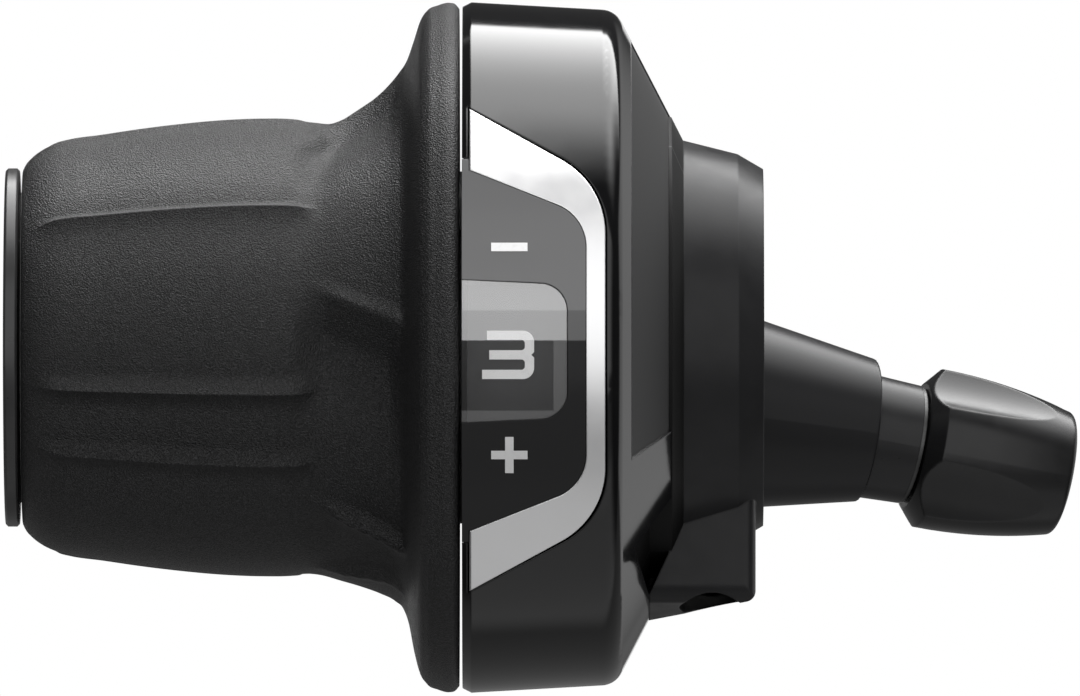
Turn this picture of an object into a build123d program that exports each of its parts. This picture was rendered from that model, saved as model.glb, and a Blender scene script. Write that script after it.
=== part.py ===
from build123d import *
import os
from math import cos, radians, sin, sqrt, tan

os.makedirs("parts", exist_ok=True)

# Left-hand twist grip shifter for a three-ring bicycle drivetrain, in millimetres.
# X runs along the handlebar towards the stem, -Y faces the rider and Z is up.
# The origin is on the bar axis, in the gap between the turning grip and the housing.

# Handlebar and fits
bar_diameter = 22.2
bar_clearance = 0.05
running_clearance = 0.08
seat_clearance = 0.05
turning_gap = 0.25
bar_bore = bar_diameter / 2 + bar_clearance

# Core tube that the grip turns on, and the grip's own sleeve
core_wall = 1.35
sleeve_wall = 1.62
key_count = 4
key_width = 2.4
key_height = 0.6
key_inset = 2.4
core_radius = bar_bore + core_wall
sleeve_bore = core_radius + running_clearance
sleeve_radius = sleeve_bore + sleeve_wall

# Housing drum, cone and clamp collar
cavity_depth = 11.85
housing_wall = 1.8
housing_length = 12.35
housing_draft = 0.65
bevel_length = 0.72
bevel_depth = 0.36
shoulder_round = 1.9
cone_length = 5.43
cover_cone_wall = 1.7
bracket_cone_wall = 2.0
cover_half_angle = 95
parting_angle = 0.2
parting_gap = 0.1
rear_wall_inset = 1.475
thrust_shoulder = 2.1
collar_wall = 5.55
collar_length = 6.45
collar_edge_length = 2.05
collar_edge_wall = 4.45
collar_end_wall = 3.25
cover_edge_rise = 1.93
housing_front_x = turning_gap / 2
housing_inner = sleeve_radius + cavity_depth
housing_radius = housing_inner + housing_wall
shoulder_x = housing_front_x + housing_length
shoulder_radius = housing_radius - housing_draft
rear_wall_x = shoulder_x - rear_wall_inset
collar_x = shoulder_x + cone_length
collar_end_x = collar_x + collar_length
collar_radius = bar_bore + collar_wall
collar_edge_radius = bar_bore + collar_edge_wall
collar_end_radius = bar_bore + collar_end_wall
cover_edge_radius = collar_radius + cover_edge_rise
cone_slope = (shoulder_radius - collar_radius) / cone_length

# Rubber grip: runs are measured from its nose or from its flange face, rises from the sleeve
grip_length = 35.2
nose_rise = 0.1
nose_run = 1.7
nose_shoulder_rise = 1.8
belly_run = 9.4
belly_rise = 3.35
crest_run = 15.4
crest_rise = 4.25
neck_run = 11.1
neck_rise = 3.9
flare_foot_run = 7.4
flare_foot_rise = 5.3
flare_run = 4.8
flare_rise = 7.4
flange_back_run = 3.5
flange_back_drop = 2.4
flange_rim_run = 0.8
flange_rim_drop = 0.05
flange_corner_drop = 0.45
ridge_angles = [39.6, -11.5, -29.5, 75, 128.5, 150.5, 168.5, 219.6, 255]
ridge_steps = [(6.0, 0.25), (3.0, 0.55)]
ridge_sink = 0.5
fin_angles = [76.5, 12.1, -45.5, -72, -128.5, -173.5, 128.5]
fin_slants = [-27, 24, 18.5, -16, 24, 24, 24]
fin_thickness = 1.1
fin_heel_run = 11.8
fin_toe_run = 4.6
fin_heel_rise = 3.7
fin_middle_rise = 5.45
fin_toe_rise = 7.9
grip_face_x = -turning_gap / 2
grip_end_x = grip_face_x - grip_length
flange_radius = housing_radius - flange_rim_drop

# Retainer ring at the outer end of the core tube
ring_thickness = 1.125
ring_rise = 0.25
ring_chamfer = 0.2
ring_bead = 0.3
ring_bead_width = 0.5
ring_face_x = grip_end_x - turning_gap
core_end_x = ring_face_x - ring_thickness

# Cable spool, index ring and number dial, which turn with the grip
spool_front_run = 0.4
spool_flange = 1.0
spool_drum_width = 4.1
spool_drum_rise = 3.4
spool_flange_rise = 4.6
index_ring_width = 1.5
index_ring_rise = 4.3
index_hub_rise = 1.8
index_hub_gap = 0.4
notch_depth = 0.8
notch_half_width = 1.2
click_angle = 36
dial_gap = 0.85
dial_thickness = 1.0
dial_end_gap = 2.475
dial_lip = 1.6
dial_margin = 12
digit_width = 4.15
digit_height = 3.87
digit_stroke = 0.74
digit_step = 0.38
digit_round = 0.9
digit_inner_round = 0.28
digit_waist_side = 0.7
digit_waist_depth = 0.22
digit_centre_run = 3.7
digit_drop = 0.32
digit_inlay = 0.3
digit_proud = 0.08
gear_count = 3
spool_front_x = housing_front_x + spool_front_run
spool_drum_x = spool_front_x + spool_flange
spool_drum_end_x = spool_drum_x + spool_drum_width
spool_end_x = spool_drum_end_x + spool_flange
spool_drum_radius = sleeve_radius + spool_drum_rise
spool_flange_radius = sleeve_radius + spool_flange_rise
index_end_x = spool_end_x + index_ring_width
index_radius = sleeve_radius + index_ring_rise
sleeve_end_x = rear_wall_x - turning_gap
dial_radius = housing_inner - dial_gap
carrier_radius = dial_radius - dial_thickness
dial_front_x = spool_front_x
dial_end_x = rear_wall_x - dial_end_gap
dial_sweep = (gear_count - 1) * click_angle + 2 * dial_margin

# Detent leaf spring, seated between two posts of the bracket
detent_angle = 120
spring_thickness = 0.4
spring_inset = 0.15
spring_lift = 1.5
spring_half_length = 9.0
spring_nose_half = 1.6
spring_nose_gap = 0.15
post_length = 2.4
post_inner = 1.4
post_outer = 1.6
post_root = 1.375
spring_flat = index_radius + spring_lift
spring_x = spool_end_x + spring_inset
post_depth = rear_wall_x + post_root - spring_x

# Display: trim, dark panel, clear window and the two direction marks
trim_inset = 0.6
trim_rear_inset = 0.9
trim_front_half = 19.27
trim_rear_half = 13.3
trim_round = 6.7
trim_gap = 0.15
trim_rear_width = 1.55
panel_front_half = 14.4
panel_rear_half = 10.7
panel_round = 3.6
panel_lip_half = 15.3
window_rear_inset = 1.45
window_front_half = 5.7
window_rear_half = 5.3
window_round = 2.2
window_sink = 0.05
display_half_angle = 60
mark_length = 2.9
mark_stroke = 0.68
mark_height = 8.3
mark_centre_run = 3.8
mark_depth = 0.45
trim_x = housing_front_x + trim_inset
trim_end_x = shoulder_x - trim_rear_inset
panel_end_x = trim_end_x - trim_rear_width
window_end_x = panel_end_x - window_rear_inset

# Recessed bare plate on the cover's cone, and the notch that clears the clamp lug
plate_depth = 0.2
plate_run = 1.25
plate_low_angle = -20.5
notch_top_z = -10.6
notch_middle_z = -15.85
notch_foot_z = -19.8
notch_low_z = -23.5
notch_middle_back = 4.0
notch_foot_back = 2.77

# Screws that hold the cover to the bracket
screw_radius = 0.9
screw_head_radius = 1.6
screw_head_length = 1.2
screw_reach = 3.2
screw_grip = 4.0
screw_hole_clearance = 0.1
screw_driver_clearance = 0.15
screw_socket_wall = 0.85
screw_boss_wall = 1.1
screw_slot_width = 0.5
screw_slot_depth = 0.5
boss_clearance = 0.25
screw_inset = 0.125
screw_depth = 3.65
cover_boss_length = 5.5
screw_x = rear_wall_x - screw_inset
screw_height = housing_inner - screw_depth
screw_boss_radius = screw_radius + screw_boss_wall
screw_socket_radius = screw_head_radius + screw_driver_clearance
socket_boss_radius = screw_socket_radius + screw_socket_wall
screw_parting_y = screw_height * tan(radians(cover_half_angle - 90)) + seat_clearance
screw_head_y = screw_parting_y + screw_grip

# Pinch clamp: the slot runs outwards along the slot direction, the bolt across it
slot_angle = -60.0
slot_width = 1.4
slot_start = 0.5
bolt_radius = 2.0
bolt_clearance = 0.1
bolt_head_radius = 2.5
bolt_head_length = 3.0
bolt_head_clearance = 0.15
bolt_socket_width = 2.5
bolt_socket_depth = 1.6
bolt_wall = 2.05
bolt_seat = 6.0
bolt_tip = 8.6
bolt_run = 2.3
nut_width = 7.0
nut_thickness = 3.0
nut_seat = 4.0
nut_clearance = 0.06
lug_near_y = -9.0
lug_corner_z = -20.2
lug_low_y = -0.5
lug_low_z = -22.1
lug_far_y = 8.5
lug_far_z = -19.8
lug_top_z = -13.8
lug_end_trim = 0.65
lug_end_z = -20.2
lug_heel_z = -22.0
lug_round = 1.6
lug_edge_round = 0.9
jaw_reach = 5.0
jaw_depth = 9.4
jaw_root = 12.0
bolt_offset = bar_bore + bolt_wall + bolt_radius
bolt_x = collar_x + bolt_run

# Cable outlet and barrel adjuster, on one slanted axis behind the bar
outlet_rise = 6.0
outlet_height = -5.79
outlet_yaw = 11.2
outlet_dip = 10.9
outlet_length = 8.85
outlet_body_dip = 7.8
outlet_body_lift = 0.45
outlet_base_length = 5.6
outlet_root_length = 5.4
outlet_taper_length = 12.4
outlet_root_radius = 6.0
outlet_base_radius = 8.25
outlet_end_radius = 5.85
outlet_round = 0.2
cable_hole_radius = 1.0
tube_depth = 8.0
tube_length = 3.65
tube_radius = 5.05
tube_tip_radius = 4.88
hex_width = 6.4
hex_clearance = 0.08
hex_depth = 0.5
knob_neck_wall = 0.85
knob_neck_gap = 0.25
knob_bead = 0.25
knob_bead_run = 0.8
knob_bead_width = 0.6
knob_length = 12.5
knob_radius = 6.55
knob_end_radius = 5.0
knob_bulge = 0.4
knob_chamfer = 1.2
knob_lip_radius = 5.2
knob_end_round = 0.6
flute_count = 4
flute_depth = 1.05
flute_angle = -59
flute_radius = 9.0
washer_thickness = 0.35
washer_inset = 0.15
knob_gap = 0.15
thread_radius = 3.0
casing_radius = 2.1
casing_depth = 6.0
bolt_hex_length = 3.0
bolt_hex_run = 6.5
bolt_end_inset = 1.0

# Cable guide between the spool and the outlet
guide_wall = 0.75
guide_bend_back = 14.2
guide_socket = 3.5
guide_mouth_run = 3.5
guide_mouth_height = 3.9
guide_gap = 1.3


def bar_plane(angle):
    """Half plane through the bar axis: x along the bar, y outwards at an angle above the rider's side."""
    return Plane((0, 0, 0), x_dir=(1, 0, 0), z_dir=(0, -sin(radians(angle)), -cos(radians(angle))))


def facing_plane(angle):
    """Plane through the bar axis that looks outwards at an angle above the rider's side."""
    return Plane((0, 0, 0), x_dir=(1, 0, 0), z_dir=(0, -cos(radians(angle)), sin(radians(angle))))


def cross_plane(x, angle):
    """Plane across the bar: local y is outwards at the angle, local x runs round the bar."""
    return Plane((x, 0, 0), x_dir=(0, sin(radians(angle)), cos(radians(angle))), z_dir=(1, 0, 0))


def cone_x(radius, inset=0.0):
    """Place along the bar where the housing's cone, set back by inset, has this radius."""
    return shoulder_x - inset + (shoulder_radius - radius) / cone_slope


def shell_face(cone_wall, end_radius):
    """Section of the housing shell: bevelled drum wall, rounded shoulder and cone."""
    with BuildSketch(mode=Mode.PRIVATE) as section:
        with BuildLine():
            Polyline(
                (housing_front_x, housing_inner),
                (housing_front_x, housing_radius - bevel_depth),
                (housing_front_x + bevel_length, housing_radius),
                (shoulder_x, shoulder_radius),
                (cone_x(end_radius), end_radius),
                (cone_x(end_radius, cone_wall), end_radius),
                (cone_x(housing_inner, cone_wall), housing_inner),
                close=True,
            )
        make_face()
        corner = section.vertices().sort_by_distance((shoulder_x, shoulder_radius))[0]
        fillet(corner, radius=shoulder_round)
    return section.sketch


def display_face(front_x, rear_x, front_half, rear_half, corner_round):
    """Outline seen from the rider's side: tapered towards the rear, with two rounded corners."""
    with BuildSketch(mode=Mode.PRIVATE) as outline:
        with BuildLine():
            Polyline(
                (front_x, front_half),
                (rear_x, rear_half),
                (rear_x, -rear_half),
                (front_x, -front_half),
                close=True,
            )
        make_face()
        fillet(outline.vertices().group_by(Axis.X)[-1], radius=corner_round)
    return outline.sketch


def lens_face(sink):
    """Section of the display's plates: the drum wall without the bevel, set below its skin by sink."""
    with BuildSketch(mode=Mode.PRIVATE) as section:
        with BuildLine():
            Polyline(
                (housing_front_x, housing_inner),
                (housing_front_x, housing_radius - sink),
                (shoulder_x, shoulder_radius - sink),
                (shoulder_x, housing_inner),
                close=True,
            )
        make_face()
    return section.sketch


cover_face = shell_face(cover_cone_wall, cover_edge_radius)
bracket_face = shell_face(cover_cone_wall + bracket_cone_wall / 2, collar_radius)
trim_face = display_face(trim_x, trim_end_x, trim_front_half, trim_rear_half, trim_round)
trim_opening_face = display_face(
    trim_x - trim_gap,
    trim_end_x + trim_gap,
    trim_front_half + trim_gap,
    trim_rear_half + trim_gap,
    trim_round,
)
panel_face = display_face(trim_x, panel_end_x, panel_front_half, panel_rear_half, panel_round)
panel_opening_face = display_face(
    trim_x,
    panel_end_x + seat_clearance,
    panel_front_half + seat_clearance,
    panel_rear_half + seat_clearance,
    panel_round,
)
window_face = display_face(
    0, window_end_x - seat_clearance, window_front_half, window_rear_half, window_round
)
window_opening_face = display_face(
    -bevel_length,
    window_end_x,
    window_front_half + seat_clearance,
    window_rear_half + seat_clearance,
    window_round,
)

# Slot and bolt directions of the clamp, across the bar
slot_direction = Vector(0, cos(radians(slot_angle)), sin(radians(slot_angle)))
bolt_direction = Vector(0, -sin(radians(slot_angle)), cos(radians(slot_angle)))
clamp_plane = Plane((collar_x, 0, 0), x_dir=slot_direction, z_dir=(1, 0, 0))
bolt_point = slot_direction * bolt_offset + Vector(bolt_x, 0, 0)
bolt_plane = Plane(bolt_point, x_dir=(1, 0, 0), z_dir=bolt_direction)

# Slanted axis of the outlet: it leaves the collar's end plane behind the bar
outlet_direction = Vector(
    cos(radians(outlet_dip)) * cos(radians(outlet_yaw)),
    cos(radians(outlet_dip)) * sin(radians(outlet_yaw)),
    -sin(radians(outlet_dip)),
)
outlet_start = Vector(collar_end_x, spool_drum_radius + outlet_rise, outlet_height)
outlet_end = outlet_start + outlet_direction * outlet_length
outlet_axis = Axis(outlet_end, outlet_direction)
outlet_side = Vector(0, -1, 0) - outlet_direction * Vector(0, -1, 0).dot(outlet_direction)
outlet_plane = Plane(outlet_end, x_dir=outlet_side, z_dir=outlet_direction)
outlet_section = Plane(outlet_end, x_dir=outlet_direction, z_dir=outlet_direction.cross(outlet_side))

# The outlet's outer form dips less than the cable and ends a little above it
body_direction = Vector(
    cos(radians(outlet_body_dip)) * cos(radians(outlet_yaw)),
    cos(radians(outlet_body_dip)) * sin(radians(outlet_yaw)),
    -sin(radians(outlet_body_dip)),
)
body_end = outlet_end + Vector(0, 0, outlet_body_lift)
body_axis = Axis(body_end, body_direction)
body_side = Vector(0, -1, 0) - body_direction * Vector(0, -1, 0).dot(body_direction)
body_section = Plane(body_end, x_dir=body_direction, z_dir=body_direction.cross(body_side))

# Grip sleeve: hard tube with keys that carry the rubber, the spool and the index ring
with BuildPart() as grip_sleeve:
    with BuildSketch(Plane.XZ):
        with BuildLine():
            Polyline(
                (grip_end_x, sleeve_bore),
                (grip_end_x, sleeve_radius),
                (sleeve_end_x, sleeve_radius),
                (sleeve_end_x, sleeve_bore),
                close=True,
            )
        make_face()
    revolve(axis=Axis.X)
    with BuildSketch(Plane.YZ.offset(grip_end_x + key_inset)) as key_ends:
        with PolarLocations(sleeve_radius, key_count, start_angle=45):
            Rectangle(2 * key_height, key_width)
        Circle(sleeve_bore + sleeve_wall / 2, mode=Mode.SUBTRACT)
    extrude(amount=sleeve_end_x - grip_end_x - 2 * key_inset)
grip_sleeve.part.label = "grip_sleeve"
export_step(grip_sleeve.part, "parts/grip_sleeve.step")

# Rubber grip: barrel, flare and flange turned as one form, with ridges and slanted fins
belly_point = (grip_end_x + belly_run, sleeve_radius + belly_rise)
crest_point = (grip_face_x - crest_run, sleeve_radius + crest_rise)
neck_point = (grip_face_x - neck_run, sleeve_radius + neck_rise)
nose_point = (grip_end_x + nose_run, sleeve_radius + nose_shoulder_rise)
with BuildPart() as grip_rubber:
    with BuildSketch(Plane.XZ):
        with BuildLine():
            nose_edge = (grip_end_x, sleeve_radius + nose_rise)
            Line((grip_end_x, sleeve_radius), nose_edge)
            Spline(
                nose_edge,
                nose_point,
                belly_point,
                crest_point,
                neck_point,
                (grip_face_x - flare_foot_run, sleeve_radius + flare_foot_rise),
                (grip_face_x - flare_run, sleeve_radius + flare_rise),
                (grip_face_x - flange_back_run, flange_radius - flange_back_drop),
                (grip_face_x - flange_rim_run, flange_radius),
                tangents=[(0.35, 1), (1, -0.05)],
            )
            Polyline(
                (grip_face_x - flange_rim_run, flange_radius),
                (grip_face_x, flange_radius - flange_corner_drop),
                (grip_face_x, sleeve_radius),
                (grip_end_x, sleeve_radius),
            )
        make_face()
    revolve(axis=Axis.X)
    for ridge_angle in ridge_angles:
        for ridge_arc, ridge_height in ridge_steps:
            with BuildSketch(bar_plane(ridge_angle + ridge_arc / 2)):
                with BuildLine():
                    ridge_start = (nose_point[0], nose_point[1] - ridge_sink)
                    ridge_end = (neck_point[0], neck_point[1] - ridge_sink)
                    Spline(
                        ridge_start,
                        (belly_point[0], belly_point[1] + ridge_height),
                        (crest_point[0], crest_point[1] + ridge_height),
                        ridge_end,
                    )
                    Polyline(
                        ridge_end,
                        (neck_point[0], sleeve_radius + key_height + ridge_sink),
                        (nose_point[0], sleeve_radius + key_height + ridge_sink),
                        ridge_start,
                    )
                make_face()
            revolve(axis=Axis.X, revolution_arc=ridge_arc)
    for fin_angle, fin_slant in zip(fin_angles, fin_slants):
        turn = radians(fin_angle)
        outwards = Vector(0, -cos(turn), sin(turn))
        round_bar = Vector(0, sin(turn), cos(turn))
        along = Vector(cos(radians(fin_slant)), 0, 0) - round_bar * sin(radians(fin_slant))
        fin_half = (fin_heel_run - fin_toe_run) / 2
        fin_plane = Plane(
            (grip_face_x - fin_toe_run - fin_half, 0, 0), x_dir=along, z_dir=along.cross(outwards)
        )
        with BuildSketch(fin_plane):
            with BuildLine():
                fin_heel = (-fin_half, sleeve_radius + fin_heel_rise)
                fin_toe = (fin_half, sleeve_radius + fin_toe_rise)
                Spline(fin_heel, (0, sleeve_radius + fin_middle_rise), fin_toe)
                Polyline(
                    fin_toe,
                    (fin_half, sleeve_radius + fin_heel_rise / 2),
                    (-fin_half, sleeve_radius + fin_heel_rise / 2),
                    fin_heel,
                )
            make_face()
        extrude(amount=fin_thickness / 2, both=True)
    add(grip_sleeve.part, mode=Mode.SUBTRACT)
grip_rubber.part.label = "grip_rubber"
export_step(grip_rubber.part, "parts/grip_rubber.step")

# Cable spool: front flange, cable drum, rear flange and the arc-shaped carrier of the dial
dial_top_angle = dial_margin
with BuildPart() as cable_spool:
    with BuildSketch(Plane.XZ):
        with BuildLine():
            Polyline(
                (spool_front_x, sleeve_radius),
                (spool_front_x, carrier_radius),
                (spool_drum_x, carrier_radius),
                (spool_drum_x, spool_drum_radius),
                (spool_drum_end_x, spool_drum_radius),
                (spool_drum_end_x, spool_flange_radius),
                (spool_end_x, spool_flange_radius),
                (spool_end_x, sleeve_radius),
                close=True,
            )
        make_face()
    revolve(axis=Axis.X)
    with BuildSketch(bar_plane(dial_top_angle)):
        with BuildLine():
            Polyline(
                (spool_front_x, spool_drum_radius),
                (spool_front_x, carrier_radius),
                (dial_end_x, carrier_radius),
                (dial_end_x, carrier_radius - dial_lip),
                (spool_end_x, carrier_radius - dial_lip),
                (spool_end_x, spool_drum_radius),
                close=True,
            )
        make_face()
    revolve(axis=Axis.X, revolution_arc=dial_sweep)
    add(grip_sleeve.part, mode=Mode.SUBTRACT)
cable_spool.part.label = "cable_spool"
export_step(cable_spool.part, "parts/cable_spool.step")

# Index ring: one notch for each gear, with a hub that reaches to the rear wall
with BuildPart() as index_ring:
    with BuildSketch(Plane.XZ):
        with BuildLine():
            Polyline(
                (spool_end_x, sleeve_radius),
                (spool_end_x, index_radius),
                (index_end_x, index_radius),
                (index_end_x, sleeve_radius + index_hub_rise),
                (rear_wall_x - index_hub_gap, sleeve_radius + index_hub_rise),
                (rear_wall_x - index_hub_gap, sleeve_radius),
                close=True,
            )
        make_face()
    revolve(axis=Axis.X)
    for gear in range(gear_count):
        with BuildSketch(cross_plane(spool_end_x, detent_angle - gear * click_angle)):
            with BuildLine():
                Polyline(
                    (0, index_radius - notch_depth),
                    (2 * notch_half_width, index_radius + notch_depth),
                    (-2 * notch_half_width, index_radius + notch_depth),
                    close=True,
                )
            make_face()
        extrude(amount=index_ring_width, mode=Mode.SUBTRACT)
    add(grip_sleeve.part, mode=Mode.SUBTRACT)
index_ring.part.label = "index_ring"
export_step(index_ring.part, "parts/index_ring.step")

# Gear numbers: squared strokes with rounded turns, inlaid in the dial one click apart
digit_side = digit_width / 2 - digit_stroke / 2
digit_level = digit_height / 2 - digit_stroke / 2
top_bar = (0, digit_level, digit_width, digit_stroke)
short_top_bar = (digit_step / 2, digit_level, digit_width - digit_step, digit_stroke)
middle_bar = (0, 0, digit_width, digit_stroke)
bottom_bar = (0, -digit_level, digit_width, digit_stroke)
short_bar = (digit_step * 0.75, 0, digit_width - digit_step * 1.5, digit_stroke)
right_post = (digit_side, 0, digit_stroke, digit_height)
upper_right_post = (digit_side, digit_level / 2, digit_stroke, digit_level)
lower_left_post = (-digit_side, -digit_level / 2, digit_stroke, digit_level)
centre_post = (digit_stroke / 2, 0, digit_stroke, digit_height)
flag_bar = (-digit_stroke / 2, digit_level, 2 * digit_stroke, digit_stroke)
digit_bars = [
    [short_top_bar, short_bar, bottom_bar, right_post],
    [top_bar, middle_bar, bottom_bar, upper_right_post, lower_left_post],
    [centre_post, flag_bar],
]
upper_turn = (digit_width / 2, digit_height / 2, digit_round)
lower_turn = (digit_width / 2, -digit_height / 2, digit_round)
heel_turn = (-digit_width / 2, -digit_height / 2, digit_round)
inner_turns = [
    (digit_width / 2 - digit_stroke, side * turn_height, digit_inner_round)
    for side in (-1, 1)
    for turn_height in (digit_stroke / 2, digit_level - digit_stroke / 2)
]
digit_turns = [[upper_turn, lower_turn, *inner_turns], [upper_turn, heel_turn], []]
waist_centre = digit_width / 2 - digit_waist_depth + digit_waist_side / sqrt(2)
digit_waists = [[(waist_centre, 0)], [], []]
digit_x = housing_front_x + digit_centre_run
with BuildPart() as dial_digits:
    for gear, bars in enumerate(digit_bars):
        with BuildSketch(facing_plane(-gear * click_angle)) as digit:
            for bar_x, bar_y, bar_length, bar_height in bars:
                with Locations((digit_x + bar_x, bar_y - digit_drop)):
                    Rectangle(bar_length, bar_height)
            for turn_x, turn_y, turn_round in digit_turns[gear]:
                turn_point = (digit_x + turn_x, turn_y - digit_drop)
                fillet(digit.vertices().sort_by_distance(turn_point)[0], radius=turn_round)
            for waist_x, waist_y in digit_waists[gear]:
                with Locations((digit_x + waist_x, waist_y - digit_drop)):
                    Rectangle(digit_waist_side, digit_waist_side, rotation=45, mode=Mode.SUBTRACT)
        extrude(amount=housing_inner)
    with BuildSketch(Plane.XZ):
        with BuildLine():
            Polyline(
                (dial_front_x, dial_radius - digit_inlay),
                (dial_front_x, dial_radius + digit_proud),
                (dial_end_x, dial_radius + digit_proud),
                (dial_end_x, dial_radius - digit_inlay),
                close=True,
            )
        make_face()
    revolve(axis=Axis.X, mode=Mode.INTERSECT)
dial_digits.part.label = "dial_digits"
export_step(dial_digits.part, "parts/dial_digits.step")

# Number dial: curved strip on the spool's carrier
with BuildPart() as number_dial:
    with BuildSketch(bar_plane(dial_top_angle)):
        with BuildLine():
            Polyline(
                (dial_front_x, carrier_radius),
                (dial_front_x, dial_radius),
                (dial_end_x, dial_radius),
                (dial_end_x, carrier_radius),
                close=True,
            )
        make_face()
    revolve(axis=Axis.X, revolution_arc=dial_sweep)
    add(dial_digits.part, mode=Mode.SUBTRACT)
number_dial.part.label = "number_dial"
export_step(number_dial.part, "parts/number_dial.step")

# Detent spring: bent strip whose nose drops into the index ring's notches
with BuildPart() as detent_spring:
    with BuildSketch(cross_plane(spring_x, detent_angle)):
        with BuildLine():
            nose_tip = index_radius - notch_depth + spring_nose_gap
            Polyline(
                (-spring_half_length, spring_flat),
                (-spring_nose_half, spring_flat),
                (0, nose_tip),
                (spring_nose_half, spring_flat),
                (spring_half_length, spring_flat),
                (spring_half_length, spring_flat + spring_thickness),
                (spring_nose_half - spring_thickness / 2, spring_flat + spring_thickness),
                (0, nose_tip + 2 * spring_thickness),
                (spring_thickness / 2 - spring_nose_half, spring_flat + spring_thickness),
                (-spring_half_length, spring_flat + spring_thickness),
                close=True,
            )
        make_face()
    extrude(amount=index_ring_width - 2 * spring_inset)
detent_spring.part.label = "detent_spring"
export_step(detent_spring.part, "parts/detent_spring.step")

# Cable guide: bent tube that leads the cable from the spool into the outlet
guide_outer = cable_hole_radius + guide_wall
guide_bend = outlet_start - outlet_direction * guide_bend_back
guide_mouth = Vector(
    housing_front_x + guide_mouth_run, spool_flange_radius + guide_outer + guide_gap, guide_mouth_height
)
with BuildPart() as cable_guide:
    with BuildLine():
        guide_run = Line(guide_bend + outlet_direction * guide_socket, guide_bend)
        guide_turn = TangentArc(guide_bend, guide_mouth, tangent=guide_run % 1)
    with BuildSketch(Plane(guide_run @ 0, z_dir=guide_run % 0)):
        Circle(guide_outer)
        Circle(cable_hole_radius, mode=Mode.SUBTRACT)
    sweep()
cable_guide.part.label = "cable_guide"
export_step(cable_guide.part, "parts/cable_guide.step")

# Clamp bolt: slim socket head under the lug, threaded into the nut of the far jaw
with BuildPart() as clamp_bolt:
    with BuildSketch(bolt_plane.offset(-bolt_seat)):
        Circle(bolt_radius)
    extrude(amount=bolt_seat + bolt_tip)
    with BuildSketch(bolt_plane.offset(-bolt_seat - bolt_head_length)):
        Circle(bolt_head_radius)
    extrude(amount=bolt_head_length)
    with BuildSketch(bolt_plane.offset(-bolt_seat - bolt_head_length)):
        RegularPolygon(bolt_socket_width / 2, 6, major_radius=False)
    extrude(amount=bolt_socket_depth, mode=Mode.SUBTRACT)
clamp_bolt.part.label = "clamp_bolt"
export_step(clamp_bolt.part, "parts/clamp_bolt.step")

# Clamp nut: square nut in a pocket of the far jaw
with BuildPart() as clamp_nut:
    with BuildSketch(bolt_plane.offset(nut_seat)):
        Rectangle(nut_width, nut_width)
        Circle(bolt_radius, mode=Mode.SUBTRACT)
    extrude(amount=nut_thickness)
clamp_nut.part.label = "clamp_nut"
export_step(clamp_nut.part, "parts/clamp_nut.step")

# Near clamp jaw: block with a sloped underside, seen as the lug below the collar
jaw_end = slot_direction * (bolt_offset + jaw_reach)
with BuildPart() as near_jaw:
    with BuildSketch(Plane.YZ.offset(shoulder_x)) as jaw_section:
        with BuildLine():
            Polyline(
                (0, 0),
                (lug_near_y, lug_near_y),
                (lug_near_y, lug_corner_z),
                (lug_low_y, lug_low_z),
                (lug_far_y, lug_far_z),
                (jaw_end.Y, jaw_end.Z),
                close=True,
            )
        make_face()
        fillet(
            jaw_section.vertices().sort_by_distance((lug_near_y, lug_corner_z))[0], radius=lug_round
        )
    extrude(amount=collar_end_x - shoulder_x)
    lug_end_x = collar_end_x - lug_end_trim
    with BuildSketch(Plane.XZ.offset(-housing_radius)) as lug_outline:
        with BuildLine():
            Polyline(
                (collar_x, 0),
                (lug_end_x, 0),
                (lug_end_x, lug_end_z),
                (collar_x - notch_foot_back, lug_heel_z),
                (collar_x - notch_foot_back, notch_foot_z),
                (collar_x, lug_top_z),
                close=True,
            )
        make_face()
        fillet(lug_outline.vertices().sort_by_distance((lug_end_x, lug_end_z))[0], radius=lug_edge_round)
    extrude(amount=2 * housing_radius, mode=Mode.INTERSECT)
    with BuildSketch(Plane.XY.offset(-housing_radius)) as lug_plan:
        with BuildLine():
            Polyline(
                (shoulder_x, lug_near_y),
                (lug_end_x, lug_near_y),
                (lug_end_x, housing_radius),
                (shoulder_x, housing_radius),
                close=True,
            )
        make_face()
        fillet(lug_plan.vertices().sort_by_distance((lug_end_x, lug_near_y))[0], radius=lug_edge_round)
    extrude(amount=housing_radius, mode=Mode.INTERSECT)

# Inside of the housing, half way into its walls, which trims the screw bosses
with BuildPart() as housing_inside:
    with BuildSketch(Plane.XZ):
        with BuildLine():
            socket_limit = housing_inner + housing_wall / 2
            Polyline(
                (housing_front_x, 0),
                (housing_front_x, socket_limit),
                (cone_x(socket_limit, cover_cone_wall), socket_limit),
                (cone_x(collar_radius, cover_cone_wall), collar_radius),
                (cone_x(collar_radius, cover_cone_wall), 0),
                close=True,
            )
        make_face()
    revolve(axis=Axis.X)

# Screw sockets of the bracket
with BuildPart() as screw_sockets:
    for screw_z in (-screw_height, screw_height):
        with BuildSketch(Plane.XZ.offset(-screw_parting_y)):
            with Locations((screw_x, screw_z)):
                Circle(socket_boss_radius)
        extrude(amount=-housing_radius)
    add(housing_inside.part, mode=Mode.INTERSECT)

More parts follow.
